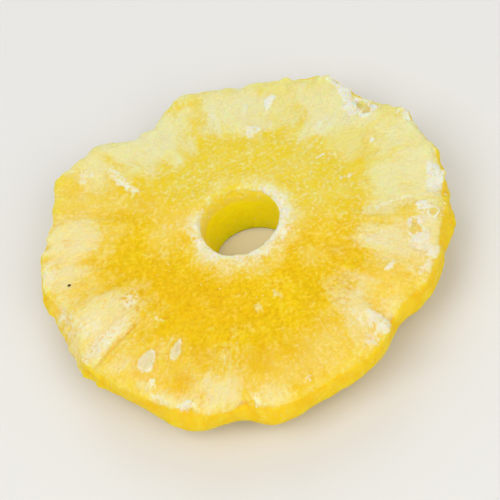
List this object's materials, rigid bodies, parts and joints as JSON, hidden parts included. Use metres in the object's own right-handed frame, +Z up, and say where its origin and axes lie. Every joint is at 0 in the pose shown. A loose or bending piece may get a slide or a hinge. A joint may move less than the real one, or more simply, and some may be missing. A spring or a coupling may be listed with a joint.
{
  "type": "dried pineapple ring",
  "caption": "Ring of candied, dried pineapple with a scalloped rim, radial creases and a cored hole through the middle.",
  "frame": {"origin": "under the middle of the ring's bounding box, on the surface it rests on", "axes": "+Z up through the hole's direction, -Y towards the side nearest the camera in the picture, +X to the right"},
  "size_m": [0.0676, 0.0672, 0.0108],
  "materials": {
    "candied_pineapple": "matt, sugar-frosted, slightly see-through"
  },
  "bodies": {
    "root": {"pineapple_ring": "candied_pineapple"}
  },
  "joints": []
}
